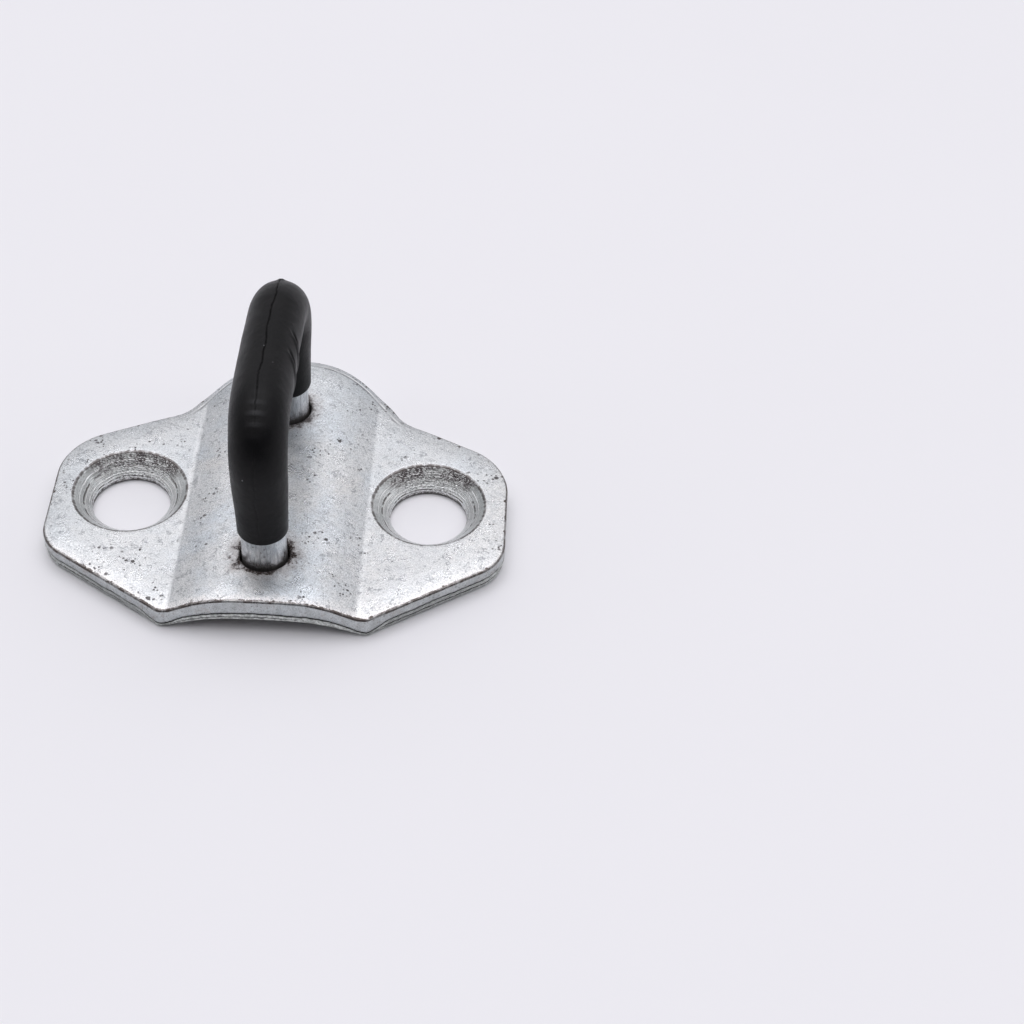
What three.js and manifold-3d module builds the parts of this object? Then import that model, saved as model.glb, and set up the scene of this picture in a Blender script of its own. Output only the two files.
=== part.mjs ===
// Latch striker: a stamped steel base plate with a raised centre channel and two countersunk
// screw holes, a bent round rod staked through the channel as the loop that a latch grips, and a
// soft sleeve over the loop.
//
// Millimetres. The origin is on the mounting plane, under the middle of the bounding box.
// +X runs from one screw hole to the other, +Y from the straight edge to the round lobe, +Z is up.

import * as THREE from "three";
import { mergeVertices } from "three/addons/utils/BufferGeometryUtils.js";
import Module from "manifold-3d";

// Driving dimensions: plate outline. Y is counted from the line through both screw holes.
const HOLE_SPACING = 45;
const PLATE_WIDTH = 68.4;
const FRONT_EDGE_Y = -23.7;
const LOBE_TOP_Y = 28;
const FRONT_EDGE_WIDTH = 30;
const FRONT_CORNER_RADIUS = 1.2;
const BEVEL_ANGLE = 33; // of the oblique front edges, from X
const SIDE_FRONT_RADIUS = 7;
const SIDE_REAR_RADIUS = 9.5;
const SHOULDER_X = 28.5; // a point on the sloping rear edge
const SHOULDER_Y = 12.2;
const SHOULDER_ANGLE = 24.2; // of the sloping rear edge, from X
const LOBE_RADIUS = 18;
const LOBE_FILLET = 8; // hollow radius between the sloping edge and the lobe

// Driving dimensions: plate section, the same all along Y.
const PLATE_THICKNESS = 3.8;
const UNDERSIDE_CHANNEL = { base: 0, foot: 14.7, shoulder: 8.8, shoulderRise: 2, rise: 2.55 };
const TOP_HUMP = { base: PLATE_THICKNESS, foot: 13.9, shoulder: 8.4, shoulderRise: 2.15, rise: 2.6 };
const FOOT_BLEND = 1.1; // how far each bend's rounding reaches along X
const SHOULDER_BLEND = 1.6;

// Driving dimensions: screw holes for countersunk M8 screws.
const SEAT_MOUTH_RADIUS = 8.5;
const SCREW_HOLE_RADIUS = 5.85;

// Driving dimensions: loop and sleeve.
const ROD_RADIUS = 3.3;
const NEAR_LEG_Y = -14.1; // from the hole line
const FAR_LEG_Y = 16.9;
const LOOP_AXIS_TOP = 30; // height of the rod's axis along the top of the loop
const BEND_RADIUS = 6.5; // of the rod's axis
const ROD_HOLE_RADIUS = 3.65;
const STAKE_RADIUS = 4.7; // of the upset rod end, where it fills the recess under the plate
const STAKE_DEPTH = 1.4; // of that recess
const STAKE_CROWN = 0.9; // how far the end stands below the recess
const STAKE_FACE_RADIUS = 3.4; // of the end's flat face, inside its bevel
const CLEARANCE = 0.3; // between neighbouring pieces

const SLEEVE_END_Z = 12;
const SLEEVE_BORE_CLEARANCE = 0.15;
const SLEEVE_RADIUS_END = 3.7;
const SLEEVE_RADIUS_LEG = 3.95;
const SLEEVE_RADIUS_TOP = 4.3;
const SLEEVE_TAPER = 9; // length of each end's taper

// Facet sizes.
const ARC_STEP = 9; // degrees
const SIDES = 24; // of round pieces
const BEND_STEPS = 7; // of each loop bend
const BEND_FACETS = 4; // of each bend in the plate

const wasm = await Module();
wasm.setup();

const BOX_CENTRE_Y = (FRONT_EDGE_Y + LOBE_TOP_Y) / 2;
const radians = THREE.MathUtils.degToRad;

// ---- booleans -------------------------------------------------------------------------------

function toSolid(geometry) {
  const bare = geometry.clone();
  bare.deleteAttribute("normal");
  bare.deleteAttribute("uv");
  const merged = mergeVertices(bare, 1e-4);
  return new wasm.Manifold(
    new wasm.Mesh({
      numProp: 3,
      vertProperties: merged.attributes.position.array,
      triVerts: new Uint32Array(merged.index.array),
    }),
  );
}

function toGeometry(solid) {
  const mesh = solid.getMesh();
  const geometry = new THREE.BufferGeometry();
  geometry.setAttribute("position", new THREE.BufferAttribute(mesh.vertProperties, 3));
  geometry.setIndex(new THREE.BufferAttribute(mesh.triVerts, 1));
  geometry.computeVertexNormals();
  return geometry;
}

// ---- base plate -----------------------------------------------------------------------------

function arc(centre, radius, fromAngle, toAngle) {
  const steps = Math.max(2, Math.ceil(Math.abs(toAngle - fromAngle) / ARC_STEP));
  const points = [];
  for (let i = 0; i <= steps; i += 1) {
    const angle = radians(THREE.MathUtils.lerp(fromAngle, toAngle, i / steps));
    points.push(new THREE.Vector2(Math.cos(angle), Math.sin(angle)).multiplyScalar(radius).add(centre));
  }
  return points;
}

// The arc that rounds the left-hand corner between two straight edges. Edges run along their
// angles, and the body is on their left.
function roundedCorner(corner, inAngle, outAngle, radius) {
  const tangent = radius * Math.tan(radians(outAngle - inAngle) / 2);
  const inward = new THREE.Vector2(-Math.sin(radians(inAngle)), Math.cos(radians(inAngle)));
  const along = new THREE.Vector2(Math.cos(radians(inAngle)), Math.sin(radians(inAngle)));
  const centre = corner.clone().addScaledVector(along, -tangent).addScaledVector(inward, radius);
  return arc(centre, radius, inAngle - 90, outAngle - 90);
}

// The hollow fillet on the +X side that joins the sloping rear edge to the lobe's circle, and the
// half of the lobe from there to its top.
function filletAndLobe() {
  const outward = new THREE.Vector2(Math.sin(radians(SHOULDER_ANGLE)), Math.cos(radians(SHOULDER_ANGLE)));
  const lobe = new THREE.Vector2(0, LOBE_TOP_Y - LOBE_RADIUS);
  const edgeDistance = outward.dot(new THREE.Vector2(SHOULDER_X, SHOULDER_Y).sub(lobe));
  const outwardReach = edgeDistance + LOBE_FILLET;
  const centresApart = LOBE_RADIUS + LOBE_FILLET;
  const alongReach = Math.sqrt(centresApart ** 2 - outwardReach ** 2);
  const along = new THREE.Vector2(outward.y, -outward.x);
  const centre = lobe.clone().addScaledVector(outward, outwardReach).addScaledVector(along, alongReach);
  const lobeAngle = THREE.MathUtils.radToDeg(Math.atan2(centre.y - lobe.y, centre.x - lobe.x));
  const edgeAngle = 90 - SHOULDER_ANGLE;
  return [
    ...arc(centre, LOBE_FILLET, edgeAngle + 180, lobeAngle + 180),
    ...arc(lobe, LOBE_RADIUS, lobeAngle, 90).slice(1),
  ];
}

function outline() {
  const halfWidth = PLATE_WIDTH / 2;
  const frontCorner = new THREE.Vector2(FRONT_EDGE_WIDTH / 2, FRONT_EDGE_Y);
  const bevelRise = (halfWidth - frontCorner.x) * Math.tan(radians(BEVEL_ANGLE));
  const shoulderDrop = (halfWidth - SHOULDER_X) * Math.tan(radians(SHOULDER_ANGLE));
  const sideFront = new THREE.Vector2(halfWidth, FRONT_EDGE_Y + bevelRise);
  const sideRear = new THREE.Vector2(halfWidth, SHOULDER_Y - shoulderDrop);
  const right = [
    ...roundedCorner(frontCorner, 0, BEVEL_ANGLE, FRONT_CORNER_RADIUS),
    ...roundedCorner(sideFront, BEVEL_ANGLE, 90, SIDE_FRONT_RADIUS),
    ...roundedCorner(sideRear, 90, 180 - SHOULDER_ANGLE, SIDE_REAR_RADIUS),
    ...filletAndLobe(),
  ];
  const left = right.slice(0, -1).reverse().map((p) => new THREE.Vector2(-p.x, p.y));
  return new THREE.Shape([...right, ...left]);
}

// One side of a raised profile, from the flat foot at -X up to the crown at x = 0.
function humpHalf({ base, foot, shoulder, shoulderRise, rise }) {
  const footCorner = new THREE.Vector2(-foot, base);
  const shoulderCorner = new THREE.Vector2(-shoulder, base + shoulderRise);
  const crownCorner = new THREE.Vector2(-shoulder / 2, base + rise);
  const flank = foot - shoulder;
  const flankStart = footCorner.clone().lerp(shoulderCorner, FOOT_BLEND / flank);
  const flankEnd = shoulderCorner.clone().lerp(footCorner, SHOULDER_BLEND / flank);
  const crownStart = shoulderCorner.clone().lerp(crownCorner, (2 * SHOULDER_BLEND) / shoulder);
  const path = new THREE.Path();
  path.moveTo(-foot - FOOT_BLEND, base);
  path.quadraticCurveTo(footCorner.x, footCorner.y, flankStart.x, flankStart.y);
  path.lineTo(flankEnd.x, flankEnd.y);
  path.quadraticCurveTo(shoulderCorner.x, shoulderCorner.y, crownStart.x, crownStart.y);
  path.quadraticCurveTo(crownCorner.x, crownCorner.y, 0, base + rise);
  return path.getPoints(BEND_FACETS);
}

function section() {
  const mirrored = (points) => points.slice(0, -1).reverse().map((p) => new THREE.Vector2(-p.x, p.y));
  const underside = humpHalf(UNDERSIDE_CHANNEL);
  const top = humpHalf(TOP_HUMP);
  const reach = PLATE_WIDTH; // wider than the plate, which the outline then trims
  return new THREE.Shape([
    new THREE.Vector2(-reach, 0),
    ...underside,
    ...mirrored(underside),
    new THREE.Vector2(reach, 0),
    new THREE.Vector2(reach, PLATE_THICKNESS),
    ...[...top, ...mirrored(top)].reverse(),
    new THREE.Vector2(-reach, PLATE_THICKNESS),
  ]);
}

function turnedCutter(profile, x, y) {
  const geometry = new THREE.LatheGeometry(profile, 2 * SIDES);
  geometry.rotateX(Math.PI / 2);
  geometry.translate(x, y, 0);
  return toSolid(geometry);
}

// A screw hole with a 90 degree countersunk seat.
function screwHole(x) {
  const past = 1; // how far the cutter runs past both faces
  const seatDepth = SEAT_MOUTH_RADIUS - SCREW_HOLE_RADIUS;
  const profile = [
    new THREE.Vector2(0, -past),
    new THREE.Vector2(SCREW_HOLE_RADIUS, -past),
    new THREE.Vector2(SCREW_HOLE_RADIUS, PLATE_THICKNESS - seatDepth),
    new THREE.Vector2(SEAT_MOUTH_RADIUS + past, PLATE_THICKNESS + past),
    new THREE.Vector2(0, PLATE_THICKNESS + past),
  ];
  return turnedCutter(profile, x, 0);
}

// The hole that a leg of the loop passes through, opening into a cone under the plate.
function legHole(y) {
  const past = 1; // how far the cutter runs past both faces
  const underside = UNDERSIDE_CHANNEL.rise;
  const above = PLATE_THICKNESS + TOP_HUMP.rise + past;
  const mouth = STAKE_RADIUS + CLEARANCE;
  const flare = (mouth - ROD_HOLE_RADIUS) / STAKE_DEPTH;
  const profile = [
    new THREE.Vector2(0, underside - past),
    new THREE.Vector2(mouth + flare * past, underside - past),
    new THREE.Vector2(ROD_HOLE_RADIUS, underside + STAKE_DEPTH),
    new THREE.Vector2(ROD_HOLE_RADIUS, above),
    new THREE.Vector2(0, above),
  ];
  return turnedCutter(profile, 0, y);
}

function basePlate() {
  const past = 1; // how far each of the two crossing prisms runs past the other
  const depth = LOBE_TOP_Y - FRONT_EDGE_Y + 2 * past;
  const height = PLATE_THICKNESS + TOP_HUMP.rise + 2 * past;
  const channel = new THREE.ExtrudeGeometry(section(), { depth, bevelEnabled: false });
  channel.rotateX(Math.PI / 2);
  channel.translate(0, LOBE_TOP_Y + past, 0);
  const blank = new THREE.ExtrudeGeometry(outline(), { depth: height, bevelEnabled: false });
  blank.translate(0, 0, -past);
  const cutters = [
    screwHole(-HOLE_SPACING / 2),
    screwHole(HOLE_SPACING / 2),
    legHole(NEAR_LEG_Y),
    legHole(FAR_LEG_Y),
  ];
  const plate = toSolid(channel).intersect(toSolid(blank));
  return toGeometry(cutters.reduce((body, cutter) => body.subtract(cutter), plate));
}

// ---- round pieces along the loop ------------------------------------------------------------

// Stations up the near leg, over the top and down the far leg. Each holds a point on the rod's
// axis and the loop's outward direction there.
function loopStations(straightHeights) {
  const stations = [];
  const bendZ = LOOP_AXIS_TOP - BEND_RADIUS;
  const addLeg = (y, side, heights) => {
    heights.forEach((z) => stations.push({ y, z, outY: side, outZ: 0 }));
  };
  const addBend = (centreY, fromAngle, toAngle) => {
    for (let i = 0; i <= BEND_STEPS; i += 1) {
      const angle = radians(THREE.MathUtils.lerp(fromAngle, toAngle, i / BEND_STEPS));
      const outY = Math.cos(angle);
      const outZ = Math.sin(angle);
      stations.push({ y: centreY + BEND_RADIUS * outY, z: bendZ + BEND_RADIUS * outZ, outY, outZ });
    }
  };
  addLeg(NEAR_LEG_Y, -1, straightHeights);
  addBend(NEAR_LEG_Y + BEND_RADIUS, 180, 90);
  addBend(FAR_LEG_Y - BEND_RADIUS, 90, 0);
  addLeg(FAR_LEG_Y, 1, [...straightHeights].reverse());
  return stations;
}

// Rings of points round each station, at that station's radius.
function ringPositions(stations, radii) {
  const positions = [];
  stations.forEach((station, i) => {
    for (let k = 0; k < SIDES; k += 1) {
      const angle = (2 * Math.PI * k) / SIDES;
      const out = radii[i] * Math.cos(angle);
      const across = radii[i] * Math.sin(angle);
      positions.push(across, station.y + out * station.outY, station.z + out * station.outZ);
    }
  });
  return positions;
}

// Triangles that join ring a to ring b, facing away from the axis when b follows a.
function joinRings(indices, a, b) {
  for (let k = 0; k < SIDES; k += 1) {
    const next = (k + 1) % SIDES;
    indices.push(a * SIDES + k, a * SIDES + next, b * SIDES + next);
    indices.push(a * SIDES + k, b * SIDES + next, b * SIDES + k);
  }
}

function closedGeometry(positions, indices) {
  const geometry = new THREE.BufferGeometry();
  geometry.setAttribute("position", new THREE.Float32BufferAttribute(positions, 3));
  geometry.setIndex(indices);
  geometry.computeVertexNormals();
  return geometry;
}

// The rod, with both ends upset into cones that fill the recesses under the plate.
function strikerLoop() {
  const recess = UNDERSIDE_CHANNEL.rise;
  const ends = [
    { z: recess - STAKE_CROWN, radius: STAKE_FACE_RADIUS },
    { z: recess - CLEARANCE, radius: STAKE_RADIUS },
    { z: recess + STAKE_DEPTH - CLEARANCE, radius: ROD_RADIUS },
  ];
  const stations = loopStations(ends.map((end) => end.z));
  const radii = stations.map(() => ROD_RADIUS);
  ends.forEach((end, i) => {
    radii[i] = end.radius;
    radii[radii.length - 1 - i] = end.radius;
  });
  const positions = ringPositions(stations, radii);
  const indices = [];
  for (let i = 1; i < stations.length; i += 1) {
    joinRings(indices, i - 1, i);
  }
  const last = stations.length - 1;
  const centres = positions.length / 3;
  positions.push(0, stations[0].y, stations[0].z, 0, stations[last].y, stations[last].z);
  for (let k = 0; k < SIDES; k += 1) {
    const next = (k + 1) % SIDES;
    indices.push(centres, next, k);
    indices.push(centres + 1, last * SIDES + k, last * SIDES + next);
  }
  return closedGeometry(positions, indices);
}

// The sleeve: an outer skin that narrows towards both ends and an inner skin round the rod.
function loopSleeve() {
  const stations = loopStations([SLEEVE_END_Z, SLEEVE_END_Z + SLEEVE_TAPER]);
  const count = stations.length;
  const outer = stations.map(() => SLEEVE_RADIUS_TOP);
  const inner = stations.map(() => ROD_RADIUS + SLEEVE_BORE_CLEARANCE);
  outer[0] = SLEEVE_RADIUS_END;
  outer[1] = SLEEVE_RADIUS_LEG;
  outer[count - 2] = SLEEVE_RADIUS_LEG;
  outer[count - 1] = SLEEVE_RADIUS_END;
  const positions = [...ringPositions(stations, outer), ...ringPositions(stations, inner)];
  const indices = [];
  for (let i = 1; i < count; i += 1) {
    joinRings(indices, i - 1, i);
    joinRings(indices, count + i, count + i - 1);
  }
  joinRings(indices, count, 0);
  joinRings(indices, count - 1, 2 * count - 1);
  return closedGeometry(positions, indices);
}

// ---- assembly -------------------------------------------------------------------------------

const zincPlatedSteel = new THREE.MeshStandardMaterial({
  color: 0xc4c8cc,
  roughness: 0.42,
  metalness: 0.9,
});
const drawnRodSteel = new THREE.MeshStandardMaterial({
  color: 0xb4b8bb,
  roughness: 0.3,
  metalness: 0.95,
});
const blackPlastic = new THREE.MeshStandardMaterial({
  color: 0x1d1d1f,
  roughness: 0.5,
  metalness: 0,
});

function piece(name, geometry, material) {
  const mesh = new THREE.Mesh(geometry, material);
  mesh.name = name;
  return mesh;
}

const group = new THREE.Group();
group.position.y = -BOX_CENTRE_Y;
group.add(piece("base_plate", basePlate(), zincPlatedSteel));
group.add(piece("striker_loop", strikerLoop(), drawnRodSteel));
group.add(piece("loop_sleeve", loopSleeve(), blackPlastic));

export default group;
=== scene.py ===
"""Looks of the latch striker: a stamped zinc-plated plate, a steel rod loop and its black sleeve.

Shapes are worked out in millimetres, in the frame's axes, and turned into metres when a mesh is made.
"""

import math

import bmesh
import bpy
import numpy as np
from mathutils import Matrix, Vector, noise
from mathutils.geometry import delaunay_2d_cdt


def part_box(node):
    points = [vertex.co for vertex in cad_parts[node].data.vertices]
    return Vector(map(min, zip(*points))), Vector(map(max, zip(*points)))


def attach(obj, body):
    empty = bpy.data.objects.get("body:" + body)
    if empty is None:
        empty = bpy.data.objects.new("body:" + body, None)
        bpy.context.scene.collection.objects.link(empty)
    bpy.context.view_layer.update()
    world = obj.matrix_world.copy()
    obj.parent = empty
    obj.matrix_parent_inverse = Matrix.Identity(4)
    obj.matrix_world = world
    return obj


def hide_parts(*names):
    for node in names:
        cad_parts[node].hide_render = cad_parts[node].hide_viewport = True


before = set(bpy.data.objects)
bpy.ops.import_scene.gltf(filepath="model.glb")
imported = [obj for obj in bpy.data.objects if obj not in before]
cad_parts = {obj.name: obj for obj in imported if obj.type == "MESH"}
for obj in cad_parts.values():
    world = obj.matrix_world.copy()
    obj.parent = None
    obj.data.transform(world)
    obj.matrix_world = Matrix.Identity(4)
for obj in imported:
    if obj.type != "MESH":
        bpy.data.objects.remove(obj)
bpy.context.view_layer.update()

MM = 0.001


def box_mm(node):
    low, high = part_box(node)
    return np.array(low) / MM, np.array(high) / MM


PLATE_LOW, PLATE_HIGH = box_mm("base_plate")
LOOP_LOW, LOOP_HIGH = box_mm("striker_loop")
SLEEVE_LOW, SLEEVE_HIGH = box_mm("loop_sleeve")

# ---- driving sizes, in millimetres ----

HOLE_LINE_Y = PLATE_LOW[1] + 23.7  # the line through both screw holes
HOLE_X = 22.5
HALF_WIDTH = PLATE_HIGH[0]
THICKNESS = 3.8

# Plate outline, with Y counted from the hole line.
FRONT_HALF_WIDTH = 15
FRONT_CORNER_RADIUS = 1.2
BEVEL_ANGLE = 33
SIDE_FRONT_RADIUS = 7
SIDE_REAR_RADIUS = 9.5
SHOULDER = (28.5, 12.2)
SHOULDER_ANGLE = 24.2
LOBE_RADIUS = 18
LOBE_FILLET = 8

OUTLINE_X = 0.1  # this copy was blanked a little off the middle, most of all at the lobe
LOBE_X = 0.4
LOBE_GROWTH = 0.7  # makes up for the rounding of the lobe's edge

# Plate section, the same all along Y.
UNDERSIDE = {"base": 0, "foot": 14.7, "shoulder": 8.8, "shoulder_rise": 2, "rise": 2.55}
TOP = {"base": THICKNESS, "foot": 13.6, "shoulder": 8.4, "shoulder_rise": 2.15, "rise": 2.6}
CROWN_Z = THICKNESS + TOP["rise"]
FOOT_BLEND = 0.6
SHOULDER_BLEND = 2.6

SEAT_RADIUS = 8.5
SCREW_RADIUS = 5.85
SEAT_EDGE = 0.24  # rounding of the seat's rim
SEAT_TEETH = 76  # chatter marks round the rim
SEAT_RINGS = 34

ROD_RADIUS = 3.3
ROD_HOLE_RADIUS = 3.65
ROD_HOLE_EDGE = 0.3
LOOP_X = -0.45  # this copy's loop, and its holes, sit a little off the middle
STAKE_RADIUS = 4.7
RECESS_RADIUS = 5
RECESS_DEPTH = 1.4
NEAR_LEG_Y = LOOP_LOW[1] + STAKE_RADIUS
FAR_LEG_Y = LOOP_HIGH[1] - STAKE_RADIUS
BEND_RADIUS = 6.5
# The rod's hammered end: height above its lowest point, and radius.
STAKE_PROFILE = ((0, 0.4), (0.03, 1.6), (0.1, 2.6), (0.24, 3.5), (0.45, 4.25), (0.62, 4.6))

SLEEVE_RADIUS = 4.3
SLEEVE_END_Z = SLEEVE_LOW[2]
AXIS_TOP = SLEEVE_HIGH[2] - SLEEVE_RADIUS
CREASES = ((12, 0.42), (8, 0.4))  # distance before the end of the bar, and depth
CREASE_SLANT = 3.4
RIB_PERIOD = 1.02
SLEEVE_LIP = 0.28  # how far each rounded end stands past the last full section

# Edge of the blanked plate.
ROLL_WIDTH = 4.4  # the top sinks gently towards the edge
ROLL_DROP = 0.28
LIP_WIDTH = 1.3  # and round the lobe it sinks again, from a clear line
LIP_DROP = 0.24
LIP_FROM_Y = 13
LIP_FULL_Y = 17
ARRIS_RADIUS = 0.35
ARCH_SPREAD = 0.09  # share by which the arch is higher on top, and lower below, at its sheared end
BREAK_HEIGHT = 0.37  # share of the edge, from the bottom, that tore instead of being cut
BREAK_GROWTH = 0.16  # and how much more of it tore beyond the two sharp corners
BREAK_DEPTH = 0.3  # how far the dark line between the two is cut in

FAR_FROM_EDGE = 9
OUTLINE_STEP = 0.25
CIRCLE_SIDES = 240
ROD_SIDES = 72
ROD_STEP = 0.8
SLEEVE_STEP = 0.2
TOP_STEP = 0.55
UNDERSIDE_STEP = 1.1


# ---- plain geometry ----

def wobble(points, scale, seed):
    """Smooth noise from -1 to 1 at each point, with features about 1 / scale across."""
    offset = Vector((seed * 17.3, seed * 5.1, seed * 9.7))
    return np.array([noise.noise(Vector(p) * scale + offset) for p in points])


def smoothstep(low, high, value):
    t = np.clip((value - low) / (high - low), 0, 1)
    return t * t * (3 - 2 * t)


def quadratic(start, control, end, steps):
    t = np.linspace(0, 1, steps)[:, None]
    return (1 - t) ** 2 * np.array(start) + 2 * t * (1 - t) * np.array(control) + t**2 * np.array(end)


def section_curve(base, foot, shoulder, shoulder_rise, rise):
    """Half of the plate's section, from x = 0 outwards, as two arrays: x and height."""
    foot_corner = np.array((foot, base))
    shoulder_corner = np.array((shoulder, base + shoulder_rise))
    crown_corner = np.array((shoulder / 2, base + rise))
    flank = foot - shoulder
    flank_start = foot_corner + (shoulder_corner - foot_corner) * FOOT_BLEND / flank
    flank_end = shoulder_corner + (foot_corner - shoulder_corner) * SHOULDER_BLEND / flank
    crown_start = shoulder_corner + (crown_corner - shoulder_corner) * 2 * SHOULDER_BLEND / shoulder
    points = np.vstack([
        quadratic((0, base + rise), crown_corner, crown_start, 12),
        quadratic(crown_start, shoulder_corner, flank_end, 16)[1:],
        quadratic(flank_start, foot_corner, (foot + FOOT_BLEND, base), 16),
    ])
    return points[:, 0], points[:, 1]


TOP_CURVE = section_curve(**TOP)
UNDERSIDE_CURVE = section_curve(**UNDERSIDE)


def top_height(x):
    return np.interp(np.abs(x), *TOP_CURVE)


def underside_height(x):
    return np.interp(np.abs(x), *UNDERSIDE_CURVE)


def arc(centre, radius, start, end):
    steps = max(3, int(abs(math.radians(end - start)) * radius / OUTLINE_STEP) + 1)
    angles = np.radians(np.linspace(start, end, steps))
    return np.array(centre) + radius * np.stack([np.cos(angles), np.sin(angles)], 1)


def rounded_corner(corner, in_angle, out_angle, radius):
    turn = math.radians(out_angle - in_angle)
    heading = math.radians(in_angle)
    along = np.array((math.cos(heading), math.sin(heading)))
    inward = np.array((-along[1], along[0]))
    centre = np.array(corner) - along * radius * math.tan(turn / 2) + inward * radius
    return arc(centre, radius, in_angle - 90, out_angle - 90)


def fillet_and_lobe():
    slope = math.radians(SHOULDER_ANGLE)
    outward = np.array((math.sin(slope), math.cos(slope)))
    along = np.array((outward[1], -outward[0]))
    lobe = np.array((0, PLATE_HIGH[1] - HOLE_LINE_Y - LOBE_RADIUS))
    outward_reach = outward @ (np.array(SHOULDER) - lobe) + LOBE_FILLET
    along_reach = math.sqrt((LOBE_RADIUS + LOBE_FILLET) ** 2 - outward_reach**2)
    centre = lobe + outward * outward_reach + along * along_reach
    lobe_angle = math.degrees(math.atan2(*(centre - lobe)[::-1]))
    fillet = arc(centre, LOBE_FILLET, 270 - SHOULDER_ANGLE, 180 + lobe_angle)
    return np.vstack([fillet, arc(lobe, LOBE_RADIUS, lobe_angle, 90)[1:]])


def evenly_spaced(loop, step):
    """The closed loop again, with points a step apart along it."""
    closed = np.vstack([loop, loop[:1]])
    length = np.concatenate([[0], np.cumsum(np.linalg.norm(np.diff(closed, axis=0), axis=1))])
    count = int(length[-1] / step)
    at = np.linspace(0, length[-1], count, endpoint=False)
    return np.stack([np.interp(at, length, closed[:, k]) for k in range(2)], 1)


def plate_outline():
    front = PLATE_LOW[1] - HOLE_LINE_Y
    bevel_rise = (HALF_WIDTH - FRONT_HALF_WIDTH) * math.tan(math.radians(BEVEL_ANGLE))
    shoulder_drop = (HALF_WIDTH - SHOULDER[0]) * math.tan(math.radians(SHOULDER_ANGLE))
    rear = (HALF_WIDTH, SHOULDER[1] - shoulder_drop)
    right = np.vstack([
        rounded_corner((FRONT_HALF_WIDTH, front), 0, BEVEL_ANGLE, FRONT_CORNER_RADIUS),
        rounded_corner((HALF_WIDTH, front + bevel_rise), BEVEL_ANGLE, 90, SIDE_FRONT_RADIUS),
        rounded_corner(rear, 90, 180 - SHOULDER_ANGLE, SIDE_REAR_RADIUS),
        fillet_and_lobe(),
    ])
    left = right[-2::-1] * (-1, 1)
    loop = np.vstack([right, left]) + (0, HOLE_LINE_Y)
    to_lobe = smoothstep(5, 18, loop[:, 1])
    loop += outward_normals(loop) * LOBE_GROWTH * to_lobe[:, None]
    loop[:, 0] += OUTLINE_X + LOBE_X * to_lobe
    return evenly_spaced(loop, OUTLINE_STEP)


def outward_normals(loop):
    ahead = np.roll(loop, -2, axis=0) - np.roll(loop, 2, axis=0)
    ahead /= np.linalg.norm(ahead, axis=1)[:, None]
    return np.stack([ahead[:, 1], -ahead[:, 0]], 1)


def even_angles(count):
    return np.linspace(0, 2 * math.pi, count, endpoint=False)


def circle(x, y, radius):
    """Points round a centre. The radius is one number, or one for each point."""
    angles = even_angles(CIRCLE_SIDES)
    return np.stack([x + radius * np.cos(angles), y + radius * np.sin(angles)], 1)


# ---- meshes ----

class Skin:
    """Vertices, faces and per-vertex marks of one closed mesh."""

    def __init__(self, marks=()):
        self.points = []
        self.faces = []
        self.marks = {name: [] for name in marks}

    def add(self, points, **marks):
        """Adds points, with the marks given for them (0 where not given). Returns their indices."""
        first = len(self.points)
        self.points.extend(map(tuple, points))
        for name, values in self.marks.items():
            values.extend(np.broadcast_to(marks.get(name, 0), len(points)).tolist())
        return np.arange(first, len(self.points))

    def join(self, ring_a, ring_b):
        """Quads between two closed rings of the same number of points."""
        next_a, next_b = np.roll(ring_a, -1), np.roll(ring_b, -1)
        self.faces.extend(zip(ring_a.tolist(), next_a.tolist(), next_b.tolist(), ring_b.tolist()))

    def join_all(self, rings):
        for ring_a, ring_b in zip(rings, rings[1:]):
            self.join(ring_a, ring_b)

    def build(self, name):
        mesh = bpy.data.meshes.new(name)
        mesh.from_pydata((np.array(self.points) * MM).tolist(), [], self.faces)
        for mark, values in self.marks.items():
            mesh.attributes.new(mark, "FLOAT", "POINT").data.foreach_set("value", values)
        work = bmesh.new()
        work.from_mesh(mesh)
        bmesh.ops.recalc_face_normals(work, faces=work.faces)
        work.to_mesh(mesh)
        work.free()
        mesh.shade_smooth()
        piece = bpy.data.objects.new(name, mesh)
        bpy.context.scene.collection.objects.link(piece)
        return piece


def inside(points, loop):
    """Which points lie inside a closed loop, by counting crossings along X."""
    x, y = points[:, 0][:, None], points[:, 1][:, None]
    ax, ay = loop[:, 0], loop[:, 1]
    bx, by = np.roll(ax, -1), np.roll(ay, -1)
    spans = (ay > y) != (by > y)
    with np.errstate(divide="ignore", invalid="ignore"):
        crosses = spans & (x < (bx - ax) * (y - ay) / (by - ay) + ax)
    return crosses.sum(1) % 2 == 1


def nearest(points, loop):
    """Distance from each point to the nearest point of a loop."""
    return np.concatenate([
        np.sqrt(((part[:, None] - loop) ** 2).sum(2)).min(1)
        for part in np.array_split(points, max(1, len(points) // 500))
    ])


def grid_points(outer, holes, step, margin):
    """Points of a grid inside the outer loop and outside the holes, finer across the plate's bends."""
    bend_low = UNDERSIDE["shoulder"] - SHOULDER_BLEND - 1
    bend_high = UNDERSIDE["foot"] + FOOT_BLEND + 1
    coarse = np.arange(0, HALF_WIDTH, step)
    fine = np.arange(bend_low, bend_high, step / 2)
    half = np.unique(np.concatenate([coarse[(coarse < bend_low) | (coarse > bend_high)], fine]))
    columns = np.concatenate([-half[:0:-1], half])
    rows = np.arange(PLATE_LOW[1], PLATE_HIGH[1], step)
    points = np.stack(np.meshgrid(columns, rows), -1).reshape(-1, 2)
    points = points[inside(points, outer)]
    points = points[nearest(points, outer) > margin]
    for x, y, radius in holes:
        points = points[np.hypot(points[:, 0] - x, points[:, 1] - y) > radius + margin]
    return points


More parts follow.
